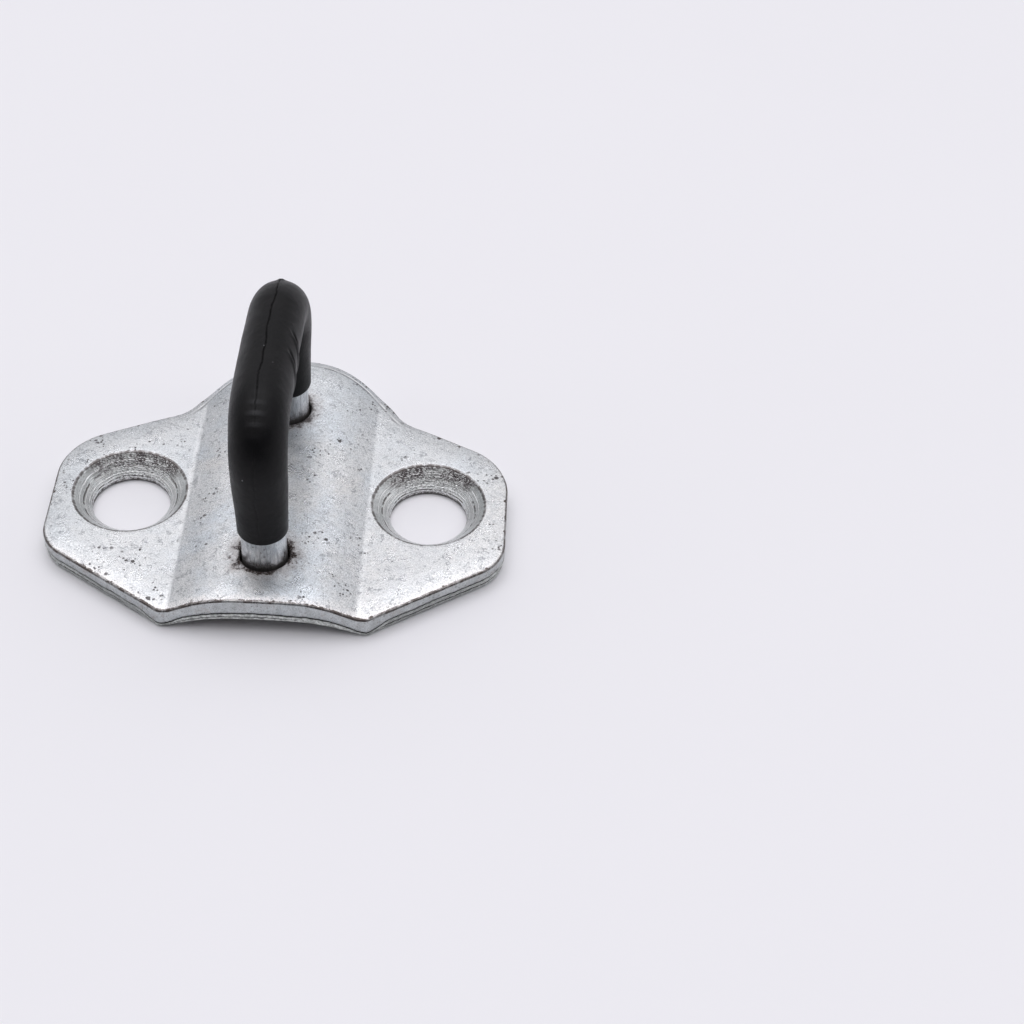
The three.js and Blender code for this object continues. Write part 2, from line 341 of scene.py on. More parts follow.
def add_cap(skin, outer_ring, hole_rings, holes, height, step, **marks):
    """Fills the region between an outer ring and hole rings with a fine mesh at the height given."""
    points = np.array(skin.points)
    rings = [outer_ring, *hole_rings]
    borders = np.concatenate(rings)
    border_points = points[borders][:, :2]
    inner = grid_points(points[outer_ring][:, :2], holes, step, 0.6 * step)
    heights = height(inner[:, 0], inner[:, 1])
    values = {name: mark(inner) for name, mark in marks.items()}
    inner_indices = skin.add(np.column_stack([inner, heights]), **values)
    edges = []
    first = 0
    for ring in rings:
        edges.extend((first + k, first + (k + 1) % len(ring)) for k in range(len(ring)))
        first += len(ring)
    flat = [Vector(p) for p in np.vstack([border_points, inner])]
    made = delaunay_2d_cdt(flat, edges, [], 1, 1e-6)  # 1 keeps only what lies within the rings
    index = np.concatenate([borders, inner_indices])
    source = np.array([index[origin[0]] for origin in made[3]])
    faces = source[np.array(made[2])]
    # Triangles that span a hole are dropped.
    centres = np.array(skin.points)[faces][:, :, :2].mean(1)
    for ring in hole_rings:
        outside = ~inside(centres, points[ring][:, :2])
        faces, centres = faces[outside], centres[outside]
    skin.faces.extend(map(tuple, faces.tolist()))


# ---- base plate ----

def front_share(y):
    """From 0 over most of the plate to 1 at the straight edge, where shearing spread the arch."""
    return smoothstep(PLATE_LOW[1] + 12, PLATE_LOW[1] + 1, y)


def plate_top(x, y, from_edge):
    """Top face, with the roll of the blanked edge and the faint unevenness of a formed sheet."""
    points = np.column_stack([x, y, np.zeros(len(x))])
    roll = ROLL_DROP * np.clip(1 - from_edge / ROLL_WIDTH, 0, 1) ** 2
    at_lobe = smoothstep(LIP_FROM_Y, LIP_FULL_Y, y)
    lip = LIP_DROP * at_lobe * np.clip(1 - from_edge / LIP_WIDTH, 0, 1) ** 1.3
    swell = ARCH_SPREAD * (top_height(x) - THICKNESS) * front_share(y)
    uneven = 0.02 * wobble(points, 0.16, 1) + 0.006 * wobble(points, 0.7, 2)
    return top_height(x) + swell - roll - lip + uneven


def plate_underside(x, y):
    return underside_height(x) * (1 - ARCH_SPREAD * front_share(y))


def add_outer_edge(skin):
    """The blanked edge: rolled over at the top, cut smooth, then torn. Returns its rings."""
    loop = plate_outline()
    normals = outward_normals(loop)
    flat = np.column_stack([loop, np.zeros(len(loop))])
    underside = plate_underside(*loop.T)
    rings = []

    def ring(inset, height, **marks):
        xy = loop - normals * np.broadcast_to(inset, len(loop))[:, None]
        rings.append(skin.add(np.column_stack([xy, height]), **marks))

    def top_at(inset):
        return plate_top(*(loop - normals * inset).T, inset)

    for inset in (LIP_WIDTH + 0.3, LIP_WIDTH, 1.05, 0.8, 0.55):
        ring(inset, top_at(inset), edge_distance=inset)
    for angle in np.radians(np.linspace(0, 90, 7)):
        inset = ARRIS_RADIUS * (1 - math.sin(angle))
        drop = ARRIS_RADIUS * (1 - math.cos(angle))
        ring(inset, top_at(inset) - drop, arris=math.sin(2 * angle), wall=math.sin(angle) ** 2)
    cut_top = top_at(0) - ARRIS_RADIUS
    # The torn zone is thinner at the two sharp corners, and higher beyond them.
    corner = np.hypot(np.abs(loop[:, 0]) - FRONT_HALF_WIDTH, loop[:, 1] - PLATE_LOW[1])
    beyond_corner = smoothstep(14, 18, np.abs(loop[:, 0]))
    share = (BREAK_HEIGHT + BREAK_GROWTH * beyond_corner) * (0.6 + 0.4 * smoothstep(0.5, 4, corner))
    share = share + 0.05 * wobble(flat, 0.35, 3) + 0.025 * wobble(flat, 1.7, 4)
    tear = underside + share * (top_at(0) - underside)
    for part in np.linspace(0.15, 0.93, 6):
        drag = 0.025 * wobble(flat + (0, 0, part), 1.1, 5)
        ring(drag * part, cut_top + (tear - cut_top) * part, wall=1)
    depth = BREAK_DEPTH + 0.07 * wobble(flat, 0.9, 6)
    ring(0.05, tear + 0.11, wall=1, torn=0.4)
    ring(depth, tear + 0.06, wall=1, torn=1, notch=1)
    ring(depth - 0.03, tear - 0.12, wall=1, torn=1, notch=1)
    ring(0.02 + 0.08 * wobble(flat, 1.3, 7), tear - 0.18, wall=1, torn=1)
    # Lower down, a second tear comes and goes.
    second = smoothstep(-0.25, 0.25, wobble(flat, 0.12, 16) + 0.6 * beyond_corner)
    for part in (0.2, 0.35, 0.46, 0.52, 0.58, 0.64, 0.75, 0.87):
        place = flat + (0, 0, 3 * part)
        rough = 0.06 * wobble(place, 2.3, 8) + 0.05 * wobble(place, 0.8, 9)
        height = tear - 0.18 + (underside + 0.1 - tear + 0.18) * part
        groove = second * (part in (0.52, 0.58))
        ring(0.06 + 0.14 * part + rough + 0.2 * groove, height, wall=1, torn=1, notch=groove)
    ring(0.3 + 0.06 * wobble(flat, 1.5, 10), underside + 0.07, wall=1, torn=1)
    ring(0.45, underside, wall=0.5, torn=0.5)
    return rings


def ring_marks(radius):
    """Depth of the turning marks on a countersunk seat, as a function of the radius cut."""
    line = np.column_stack([radius, np.zeros(len(radius)), np.zeros(len(radius))])
    deep = smoothstep(SEAT_RADIUS - 1, SCREW_RADIUS + 0.6, radius)
    return deep * (0.012 * wobble(line, 2.6, 11) + 0.007 * wobble(line, 7.0, 12))


def add_screw_hole(skin, x):
    """Countersunk seat and plain bore. Returns the top and bottom rings and the radius of each."""
    y = HOLE_LINE_Y
    angles = even_angles(CIRCLE_SIDES)
    spokes = circle(0, 0, 1)
    mouth = np.full(CIRCLE_SIDES, float(SEAT_RADIUS))
    for _ in range(6):  # the cone meets the rising side of the hump further out
        mouth = SEAT_RADIUS + top_height(x + mouth * spokes[:, 0]) - THICKNESS
    rings = []

    def ring(radius, height, **marks):
        heights = np.broadcast_to(height, CIRCLE_SIDES)
        rings.append(skin.add(np.column_stack([circle(x, y, radius), heights]), **marks))

    rim = np.column_stack([spokes * SEAT_RADIUS, np.full(CIRCLE_SIDES, x)])
    chatter = smoothstep(-0.4, 0.4, wobble(rim, 0.3, 14)) * np.sin(SEAT_TEETH * angles)
    mouth = mouth + 0.05 * chatter + 0.05 * wobble(rim, 1.5, 15)
    top_xy = circle(x, y, mouth + SEAT_EDGE)
    top = plate_top(*top_xy.T, ROLL_WIDTH)
    even_top = top_height(top_xy[:, 0])
    dark = 0.35 + 0.65 * smoothstep(-0.5, 0.1, wobble(rim, 1.9, 17))
    ring(mouth + SEAT_EDGE, top, edge_distance=FAR_FROM_EDGE)
    ring(mouth + 0.14, top - 0.01, rim=dark, edge_distance=FAR_FROM_EDGE)
    ring(mouth + 0.02, even_top - 0.05, rim=dark, edge_distance=FAR_FROM_EDGE)
    ring(mouth - 0.07, even_top - 0.13, seat=1, rim=dark)
    ring(mouth - 0.16, even_top - 0.22, seat=1, rim=dark**2)
    for share in np.linspace(0.11, 0.985, SEAT_RINGS):
        radius = mouth + (SCREW_RADIUS - mouth) * share
        nominal = SEAT_RADIUS + (SCREW_RADIUS - SEAT_RADIUS) * share
        depth = ring_marks(np.array([nominal])) + 0.004 * np.sin(angles * 23 + 9 * share)
        height = THICKNESS - (SEAT_RADIUS - radius)
        ring(radius + depth * 0.7, height - depth * 0.7, seat=1)
    land_top = THICKNESS - (SEAT_RADIUS - SCREW_RADIUS)
    for height in (land_top - 0.08, land_top * 0.6, land_top * 0.3, 0.2):
        ring(SCREW_RADIUS, height, seat=1)
    ring(SCREW_RADIUS + 0.05, 0.06)
    ring(SCREW_RADIUS + 0.2, 0)
    skin.join_all(rings)
    return rings[0], rings[-1], float(np.max(mouth)) + SEAT_EDGE, SCREW_RADIUS + 0.2


def add_rod_hole(skin, y):
    """Plain hole for a leg, opening into a cone under the plate. Returns what add_screw_hole does."""
    rings = []

    def ring(radius, height, **marks):
        xy = circle(LOOP_X, y, radius)
        rings.append(skin.add(np.column_stack([xy, height(xy[:, 0], xy[:, 1])]), **marks))

    def below_top(drop):
        return lambda px, py: plate_top(px, py, ROLL_WIDTH) - drop

    def level(height):
        return lambda px, py: np.full(len(px), height)

    for angle in np.radians(np.linspace(0, 90, 5)):
        radius = ROD_HOLE_RADIUS + ROD_HOLE_EDGE * (1 - math.sin(angle))
        drop = ROD_HOLE_EDGE * (1 - math.cos(angle))
        ring(radius, below_top(drop), edge_distance=FAR_FROM_EDGE)
    recess_top = UNDERSIDE["rise"] + RECESS_DEPTH
    for height in (recess_top + 1.2, recess_top):
        ring(ROD_HOLE_RADIUS, level(height))
    ring(RECESS_RADIUS, plate_underside)
    skin.join_all(rings)
    return rings[0], rings[-1], ROD_HOLE_RADIUS + ROD_HOLE_EDGE, RECESS_RADIUS


def make_plate():
    skin = Skin(["arris", "wall", "torn", "notch", "seat", "rim", "edge_distance"])
    edge_rings = add_outer_edge(skin)
    skin.join_all(edge_rings)
    made = [
        (-HOLE_X, HOLE_LINE_Y, *add_screw_hole(skin, -HOLE_X)),
        (HOLE_X, HOLE_LINE_Y, *add_screw_hole(skin, HOLE_X)),
        (LOOP_X, NEAR_LEG_Y, *add_rod_hole(skin, NEAR_LEG_Y)),
        (LOOP_X, FAR_LEG_Y, *add_rod_hole(skin, FAR_LEG_Y)),
    ]
    xs, ys, top_rings, underside_rings, top_radii, underside_radii = zip(*made)
    top_holes = list(zip(xs, ys, top_radii))
    underside_holes = list(zip(xs, ys, underside_radii))
    outline = plate_outline()

    def from_outline(points):
        return nearest(points, outline)

    def rolled_top(x, y):
        return plate_top(x, y, from_outline(np.column_stack([x, y])))

    add_cap(skin, edge_rings[0], top_rings, top_holes, rolled_top, TOP_STEP, edge_distance=from_outline)
    add_cap(skin, edge_rings[-1], underside_rings, underside_holes, plate_underside, UNDERSIDE_STEP)
    return skin.build("plate")


# ---- loop and sleeve ----

def loop_path(end_z, step):
    """Points along the rod's axis from one end height, over the top, to the other, as Y and Z, with
    the loop's outward direction at each and the distance along it."""
    bend_z = AXIS_TOP - BEND_RADIUS
    leg = np.linspace(end_z, bend_z, round((bend_z - end_z) / step) + 1)[:-1]
    turn = np.linspace(0, math.pi / 2, int(BEND_RADIUS * math.pi / 2 / step) + 1)
    bar_length = FAR_LEG_Y - NEAR_LEG_Y - 2 * BEND_RADIUS
    bar = NEAR_LEG_Y + BEND_RADIUS + np.linspace(0, bar_length, round(bar_length / step) + 1)[1:-1]
    near_bend = np.stack([-np.cos(turn), np.sin(turn)], 1)
    far_bend = np.stack([np.sin(turn), np.cos(turn)], 1)
    near_centre = (NEAR_LEG_Y + BEND_RADIUS, bend_z)
    far_centre = (FAR_LEG_Y - BEND_RADIUS, bend_z)
    points = np.vstack([
        np.column_stack([np.full(len(leg), NEAR_LEG_Y), leg]),
        near_centre + BEND_RADIUS * near_bend,
        np.column_stack([bar, np.full(len(bar), AXIS_TOP)]),
        far_centre + BEND_RADIUS * far_bend,
        np.column_stack([np.full(len(leg), FAR_LEG_Y), leg[::-1]]),
    ])
    outward = np.vstack([
        np.tile((-1.0, 0.0), (len(leg), 1)),
        near_bend,
        np.tile((0.0, 1.0), (len(bar), 1)),
        far_bend,
        np.tile((1.0, 0.0), (len(leg), 1)),
    ])
    gaps = np.linalg.norm(np.diff(points, axis=0), axis=1)
    return points, outward, np.concatenate([[0], np.cumsum(gaps)])


def sway(y, z):
    """How far the loop's top is bent sideways, which its legs are not."""
    along = (y - NEAR_LEG_Y) / (FAR_LEG_Y - NEAR_LEG_Y)
    return (1.2 * along**2 - 0.92 * along) * smoothstep(8, 28, z)


def tube_ring(centre, outward, radii, angles):
    """Points round one station. Angle 0 is the loop's outward side, and 90 degrees is +X."""
    out = radii * np.cos(angles)
    across = radii * np.sin(angles) + LOOP_X + sway(*centre)
    return np.column_stack([across, centre[0] + out * outward[0], centre[1] + out * outward[1]])


def make_rod():
    skin = Skin()
    angles = even_angles(ROD_SIDES)
    plain = np.full(ROD_SIDES, ROD_RADIUS)
    recess = UNDERSIDE["rise"]
    points, outward, _ = loop_path(recess + RECESS_DEPTH, ROD_STEP)
    stake = [(LOOP_LOW[2] + height, radius) for height, radius in STAKE_PROFILE]
    stake.append((recess - 0.05, STAKE_RADIUS + 0.2))

    def stake_ring(y, side, z, radius):
        round_end = np.column_stack([np.cos(angles), np.sin(angles), np.full(ROD_SIDES, z + y)])
        uneven = radius + 0.05 * wobble(round_end, 1.5, 13)
        return skin.add(tube_ring((y, z), (side, 0), uneven, angles))

    near = [stake_ring(NEAR_LEG_Y, -1, z, radius) for z, radius in stake]
    body = [skin.add(tube_ring(p, o, plain, angles)) for p, o in zip(points, outward)]
    far = [stake_ring(FAR_LEG_Y, 1, z, radius) for z, radius in stake]
    skin.join_all([*near, *body, *far[::-1]])
    skin.faces.append(tuple(near[0].tolist()))
    skin.faces.append(tuple(far[0].tolist()))
    return skin.build("rod")


def sleeve_angles():
    """Angles round the sleeve, packed closely at the outer spine, where the parting line is."""
    spine = np.radians([0.8, 1.6, 2.4, 3.2, 4.4, 6])
    side = np.radians(np.linspace(8, 352, 100))
    return np.concatenate([[0], spine, side, 2 * math.pi - spine[::-1]])


def make_sleeve():
    skin = Skin(["line", "rib_highlight"])
    angles = sleeve_angles()
    points, outward, along = loop_path(SLEEVE_END_Z, SLEEVE_STEP)
    total = along[-1]
    leg = AXIS_TOP - BEND_RADIUS - SLEEVE_END_Z
    bend = BEND_RADIUS * math.pi / 2
    bar_start = leg + bend
    bar_end = total - leg - bend
    # The plain outer radius at places along the loop, thinnest at both ends, then smoothed.
    knots = [0, 1.2, 4, leg - 1.5, bar_start, bar_end, total - leg, total - 4, total - 1.2, total]
    radii = [3.68, 3.72, 3.8, 4.05, 4.27, 4.18, 4.03, 3.82, 3.78, 3.74]
    padded = np.pad(np.interp(along, knots, radii), 12, mode="edge")
    smooth = np.convolve(padded, np.ones(25) / 25, "valid")
    outer_half = np.clip(np.cos(angles), 0, 1)
    plus_x = np.clip(np.sin(angles), 0, 1)

    def from_line(s):
        """Distance from the parting line, which wanders along the loop's outside."""
        jitter = noise.noise(Vector((2.2 * s, 0, 0)))
        wander = math.radians(1.5 * math.sin(s * 0.5) + 1.0 * math.sin(s * 1.3) + 1.6 * jitter - 1)
        return SLEEVE_RADIUS * np.abs(np.angle(np.exp(1j * (angles - wander))))

    def ribbing(s):
        """Faint ribs where the outside of the near bend is stretched, from -1 to 1."""
        middle = s - leg - 6.9
        wave = math.cos(middle * 2 * math.pi / RIB_PERIOD)
        return math.exp(-((middle / 1.3) ** 2)) * wave * outer_half**36

    def bumps(s, centre, direction):
        """How far the skin stands off its plain radius, all round one station."""
        place = np.column_stack([
            4 * np.sin(angles),
            centre[0] + 4 * np.cos(angles) * direction[0],
            centre[1] + 4 * np.cos(angles) * direction[1],
        ])
        off = 0.05 * wobble(place, 0.22, 21) + 0.012 * wobble(place, 1.1, 22)
        # The parting line is open as a hairline groove on top.
        distance = from_line(s)
        on_top = smoothstep(bar_start - 3, bar_start + 2, s) * smoothstep(bar_end + 5, bar_end + 2, s)
        off -= (0.02 + 0.15 * on_top) * np.exp(-((distance / 0.09) ** 2))
        off += 0.03 * np.exp(-(((distance - 0.32) / 0.2) ** 2))
        # The mould left a small point of flash where the line reaches the far bend.
        off += 0.25 * np.exp(-((distance / 0.5) ** 2) - ((s - bar_end - 4.2) / 0.5) ** 2)
        off += 0.045 * ribbing(s)
        # The inside of the bar is bunched into creases, deepest on the +X side.
        where = smoothstep(0.4, 0.8, plus_x) * smoothstep(0.75, 0.4, np.cos(angles))
        inner = smoothstep(0.1, 0.8, -np.cos(angles))
        for before_end, crease in CREASES:
            slanted = s - bar_end + before_end - CREASE_SLANT * np.cos(angles)
            off -= crease * np.exp(-((slanted / 0.26) ** 2)) * np.maximum(where, 0.7 * inner)
            off += 0.5 * crease * np.exp(-(((slanted + 0.65) / 0.4) ** 2)) * where
        return off

    def outer_ring(s, centre, direction, radius):
        ring = tube_ring(centre, direction, radius + bumps(s, centre, direction), angles)
        return skin.add(ring, line=from_line(s), rib_highlight=np.clip(ribbing(s), 0, 1))

    rings = [outer_ring(*station) for station in zip(along, points, outward, smooth)]
    bore = ROD_RADIUS + 0.04
    plain_bore = np.full(len(angles), bore)

    def lip(y, side, radius):
        """Rounded rim at an end, from just outside it to the bore inside."""
        round_end = np.column_stack([np.cos(angles), np.sin(angles), np.full(len(angles), y)])
        ragged = 0.09 * wobble(round_end, 1.2, 23)
        ragged += 0.28 * np.clip(wobble(round_end, 3.1, 24) - 0.25, 0, 1) * (side > 0)
        made = []
        middle = (radius + bore) / 2
        half = (radius - bore) / 2
        for turn in np.radians((30, 60, 90, 120, 150, 180)):
            ring_radius = middle + half * math.cos(turn)
            z = SLEEVE_END_Z - SLEEVE_LIP * math.sin(turn)
            ring = tube_ring((y, z), (side, 0), np.full(len(angles), ring_radius), angles)
            ring[:, 2] += ragged
            made.append(skin.add(ring, line=SLEEVE_RADIUS))
        inner_end = tube_ring((y, SLEEVE_END_Z + 3), (side, 0), plain_bore, angles)
        made.append(skin.add(inner_end, line=SLEEVE_RADIUS))
        return made

    near = lip(NEAR_LEG_Y, -1, smooth[0])
    far = lip(FAR_LEG_Y, 1, smooth[-1])
    # The bore needs fewer stations, and starts beyond the lips.
    inner = [
        skin.add(tube_ring(p, o, plain_bore, angles), line=SLEEVE_RADIUS)
        for p, o in list(zip(points, outward))[18:-18:6]
    ]
    skin.join_all([*inner[:1], *near[::-1], *rings, *far, *inner[::-1]])
    return skin.build("sleeve")


# ---- materials ----

def add_node(tree, kind, inputs, **settings):
    """A new node, with its inputs linked to sockets or set to plain values."""
    made = tree.nodes.new(kind)
    for name, value in settings.items():
        setattr(made, name, value)
    for name, value in inputs.items():
        if isinstance(value, bpy.types.NodeSocket):
            tree.links.new(value, made.inputs[name])
        else:
            made.inputs[name].default_value = value
    return made


class Paint:
    """A node material, built up by short calls that each return an output socket.

    Texture places are the piece's own coordinates, in millimetres. Colours are red, green and blue.
    """

    def __init__(self, name, piece):
        self.material = bpy.data.materials.new(name)
        self.material.use_nodes = True
        self.tree = self.material.node_tree
        self.surface = self.tree.nodes["Principled BSDF"]
        own = self.node("ShaderNodeTexCoord", {}).outputs["Object"]
        in_mm = self.node("ShaderNodeVectorMath", {0: own, "Scale": 1 / MM}, operation="SCALE")
        self.place = in_mm.outputs[0]
        self.x, self.y, self.z = self.node("ShaderNodeSeparateXYZ", {0: self.place}).outputs
        piece.data.materials.append(self.material)

    def node(self, kind, inputs, **settings):
        return add_node(self.tree, kind, inputs, **settings)

    def math(self, operation, a, b=0.0):
        return self.node("ShaderNodeMath", {0: a, 1: b}, operation=operation).outputs[0]

    def add(self, a, b):
        return self.math("ADD", a, b)

    def times(self, first, *others):
        product = first
        for other in others:
            product = self.math("MULTIPLY", product, other)
        return product

    def minus(self, a, b):
        return self.math("SUBTRACT", a, b)

    def largest(self, a, b):
        return self.math("MAXIMUM", a, b)

    def band(self, value, low, high, to_low=0.0, to_high=1.0):
        """value from low to high, smoothly turned into to_low to to_high."""
        inputs = {"Value": value, "From Min": low, "From Max": high, "To Min": to_low, "To Max": to_high}
        return self.node("ShaderNodeMapRange", inputs, interpolation_type="SMOOTHSTEP").outputs[0]

    def stripe(self, value, middle, reach, core):
        """1 where value is within core of the middle, down to 0 where it is reach away."""
        return self.band(self.math("ABSOLUTE", self.minus(value, middle)), reach, core)

    def stretched(self, scale, turn=0.0, shift=0.0):
        """The place, scaled along each axis after a turn about Z."""
        turned = self.node("ShaderNodeVectorRotate", {"Vector": self.place, "Angle": turn}).outputs[0]
        scaled = self.node("ShaderNodeVectorMath", {0: turned, 1: scale}, operation="MULTIPLY").outputs[0]
        moved = self.node("ShaderNodeVectorMath", {0: scaled, 1: (shift, 2.3 * shift, 0.7 * shift)})
        return moved.outputs[0]

    def noise(self, scale, detail=2.0, roughness=0.5, place=None, shift=0.0):
        vector = place or self.stretched((1.0, 1.0, 1.0), shift=shift)
        inputs = {"Vector": vector, "Scale": scale, "Detail": detail, "Roughness": roughness}
        return self.node("ShaderNodeTexNoise", inputs).outputs["Fac"]

    def line_noise(self, value, scale, detail=3.0):
        """Noise that depends on one number only."""
        inputs = {"W": value, "Scale": scale, "Detail": detail}
        return self.node("ShaderNodeTexNoise", inputs, noise_dimensions="1D").outputs["Fac"]

    def specks(self, scale, size, share, shift=0.0):
        """Scattered dots: share of the cells have one, and size is its radius in cells."""
        inputs = {"Vector": self.stretched((1.0, 1.0, 1.0), shift=shift), "Scale": scale}
        cells = self.node("ShaderNodeTexVoronoi", inputs)
        picked = self.node("ShaderNodeSeparateColor", {0: cells.outputs["Color"]}).outputs
        ragged = self.times(self.noise(3 * scale, 2.0, shift=shift), 0.3)
        from_middle = self.add(cells.outputs["Distance"], ragged)
        dot = self.band(self.minus(from_middle, self.times(picked[1], size)), 0.2, 0.12)
        return self.times(dot, self.band(picked[0], share + 0.01, share - 0.01))

    def mark(self, name):
        return self.node("ShaderNodeAttribute", {}, attribute_name=name).outputs["Fac"]

    def blend(self, share, a, b):
        """A colour share of the way from a to b."""
        first, second = (c if isinstance(c, bpy.types.NodeSocket) else (*c, 1) for c in (a, b))
        inputs = {"Factor": share, 6: first, 7: second}
        return self.node("ShaderNodeMix", inputs, data_type="RGBA").outputs[2]

    def pick(self, share, a, b):
        """A number share of the way from a to b."""
        return self.node("ShaderNodeMix", {"Factor": share, 2: a, 3: b}, data_type="FLOAT").outputs[0]

    def bump(self, height, depth, normal=None):
        """Bump whose height of 1 stands depth millimetres proud."""
        inputs = {"Height": height, "Distance": depth * MM, "Strength": 1.0}
        if normal:
            inputs["Normal"] = normal
        return self.node("ShaderNodeBump", inputs).outputs[0]

    def from_axis(self, x, y, mirrored=False):
        """Distance from the upright line through (x, y), or from it and its mirror image in x."""
        across = self.math("ABSOLUTE", self.x) if mirrored else self.x
        square = self.add(
            self.math("POWER", self.minus(across, x), 2.0),
            self.math("POWER", self.minus(self.y, y), 2.0),
        )
        return self.math("SQRT", square)

    def finish(self, color, roughness, normal):
        for name, socket in (("Base Color", color), ("Roughness", roughness), ("Normal", normal)):
            self.tree.links.new(socket, self.surface.inputs[name])

    def constant(self, name, value):
        self.surface.inputs[name].default_value = value


def fading_noise(p):
    """Share from 0.3 to 1, for lines that come and go."""
    return p.band(p.noise(0.4, 3.0, shift=14.0), 0.35, 0.6, 0.3, 1.0)


# Where the plate's zinc is pitted: X, Y and radius, in millimetres.
PIT_CLUSTERS = (
    (-20, -16, 3.6),
    (7, -12.5, 2.2),
    (11.3, -21, 2),
    (8.2, 8, 1.8),
    (9.6, 16, 1.6),
    (-15.5, -21, 1.5),
    (-31, -1, 2.4),
    (31.5, 4.5, 2),
)


class PlatePaint(Paint):
    """The plate's paint, with what several of its layers need worked out once."""

    def __init__(self, piece):
        super().__init__("zinc_plate", piece)
        self.constant("Metallic", 1.0)
        self.edge = self.mark("edge_distance")
        self.wall = self.mark("wall")
        self.torn = self.mark("torn")
        self.seat = self.mark("seat")
        self.mottle = self.noise(0.9, 4.0, 0.65, shift=2.0)
        self.grain = self.noise(5.0, 3.0, 0.8)
        self.torn_grain = self.noise(1.7, 4.0, 0.7, shift=12.0)
        self.crust_grain = self.noise(2.6, 4.0, 0.8, shift=60.0)
        self.small_pits = self.specks(2.2, 0.45, 0.45, 5.0)
        self.from_middle = self.math("ABSOLUTE", self.x)
        self.front = self.band(self.y, HOLE_LINE_Y - 3, PLATE_LOW[1] + 4)
        self.ragged_edge = self.add(self.edge, self.times(self.noise(0.8, 3.0, 0.7, shift=17.0), 2.4))
        # On the countersunk seats: turned rings low down, and chips high up at the back.
        self.radius = self.from_axis(HOLE_X, HOLE_LINE_Y, mirrored=True)
        down_wall = self.add(self.radius, self.times(self.z, 0.6))
        uneven = self.times(self.noise(0.35, 2.0, shift=8.0), 0.5)
        self.rings = self.line_noise(self.add(down_wall, uneven), 2.6, 2.5)
        self.low_part = self.band(self.radius, SEAT_RADIUS - 0.5, SCREW_RADIUS + 1.3)
        self.behind = self.band(self.y, HOLE_LINE_Y + 3, HOLE_LINE_Y + 6)
        self.chips = self.noise(1.0, 3.0, 0.8, self.stretched((2.6, 5.5, 5.5), shift=55.0))


def plain_zinc(p):
    """Pale zinc with blue and straw-coloured patches and a frosty grain, with painted shade towards the
    rear and on the flat wings.
    """
    blue = p.band(p.noise(0.12, 4.0, 0.6), 0.42, 0.66)
    straw = p.band(p.noise(0.1, 3.0, 0.6, shift=40.0), 0.52, 0.7, 0.0, 0.35)
    color = p.blend(blue, (0.785, 0.79, 0.795), (0.70, 0.75, 0.80))
    color = p.blend(straw, color, (0.80, 0.76, 0.72))
    # Towards the rear the colour is painted darker: painted shade.
    color = p.blend(p.band(p.y, 2.0, 20.0, 0.0, 0.7), color, (0.60, 0.63, 0.655))
    # The flat wings are painted darker than the formed hump, most of all out to the -X side: painted
    # shade.
    painted_wing_shade = p.band(p.from_middle, TOP["foot"] - 1, TOP["foot"] + 1, 0.0, 0.5)
    color = p.blend(painted_wing_shade, color, (0.63, 0.635, 0.637))
    color = p.blend(p.band(p.x, -22.0, -34.0, 0.0, 0.45), color, (0.5, 0.525, 0.54))
    warm = p.times(p.band(p.x, 4.0, 14.0, 0.0, 0.45), p.band(p.y, 8.0, -4.0))
    color = p.blend(warm, color, (0.72, 0.70, 0.685))
    color = p.blend(p.band(p.mottle, 0.62, 0.34, 0.0, 0.36), color, (0.52, 0.545, 0.565))
    color = p.blend(p.band(p.grain, 0.54, 0.38, 0.0, 0.72), color, (0.40, 0.415, 0.42))
    return p.blend(p.band(p.grain, 0.5, 0.68, 0.0, 0.5), color, (0.93, 0.94, 0.94))


def foot_highlight_and_shade(p, color):
    """Along each foot of the hump a bright line is painted as a highlight, with a thin dark line of
    painted shade beside it.
    """
    from_foot = p.minus(p.from_middle, TOP["foot"] - 0.2)
    fading = p.times(fading_noise(p), p.band(p.y, 18.5, 16.5), p.band(p.x, 0.0, 1.0, 1.0, 0.4))
    # Painted highlight and painted shade along the fold.
    painted_highlight = p.times(p.stripe(from_foot, 0.3, 0.65, 0.05), fading, 0.45)
    dark = p.times(p.stripe(from_foot, -0.2, 0.3, 0.05), fading, 0.25)
    color = p.blend(painted_highlight, color, (0.97, 0.98, 0.98))
    return p.blend(dark, color, (0.3, 0.31, 0.33))


def lip_highlight_and_shade(p, color):
    """Round the lobe the edge sinks; along the break a bright line is painted as a highlight, with a thin
    dark line of painted shade inside it.
    """
    at_lobe = p.times(p.band(p.y, LIP_FROM_Y, LIP_FULL_Y), fading_noise(p))
    # Painted highlight and painted shade along the break of the lip.
    painted_highlight = p.times(p.stripe(p.edge, LIP_WIDTH - 0.2, 0.22, 0.05), at_lobe, 0.85)
    dark = p.times(p.stripe(p.edge, LIP_WIDTH + 0.15, 0.2, 0.04), at_lobe, 0.75)
    color = p.blend(painted_highlight, color, (1.0, 1.0, 1.0))
    return p.blend(dark, color, (0.2, 0.2, 0.21))


def pit_cover(p):
    """Dark pits, mostly in clusters."""
    cluster = p.band(p.noise(0.25, 2.0, shift=9.0), 0.55, 0.7, 0.0, 0.7)
    for x, y, reach in PIT_CLUSTERS:
        ragged = p.add(p.from_axis(x, y), p.times(p.noise(0.5, 3.0, 0.6, shift=x), 2.0))
        cluster = p.largest(cluster, p.band(ragged, reach + 1.3, 1.4))
    return p.largest(
        p.times(p.specks(1.15, 0.42, 0.5), p.band(cluster, 0.3, 0.8, 0.04, 1.0)),
        p.times(p.small_pits, p.band(cluster, 0.1, 0.6, 0.14, 1.0)),
    )


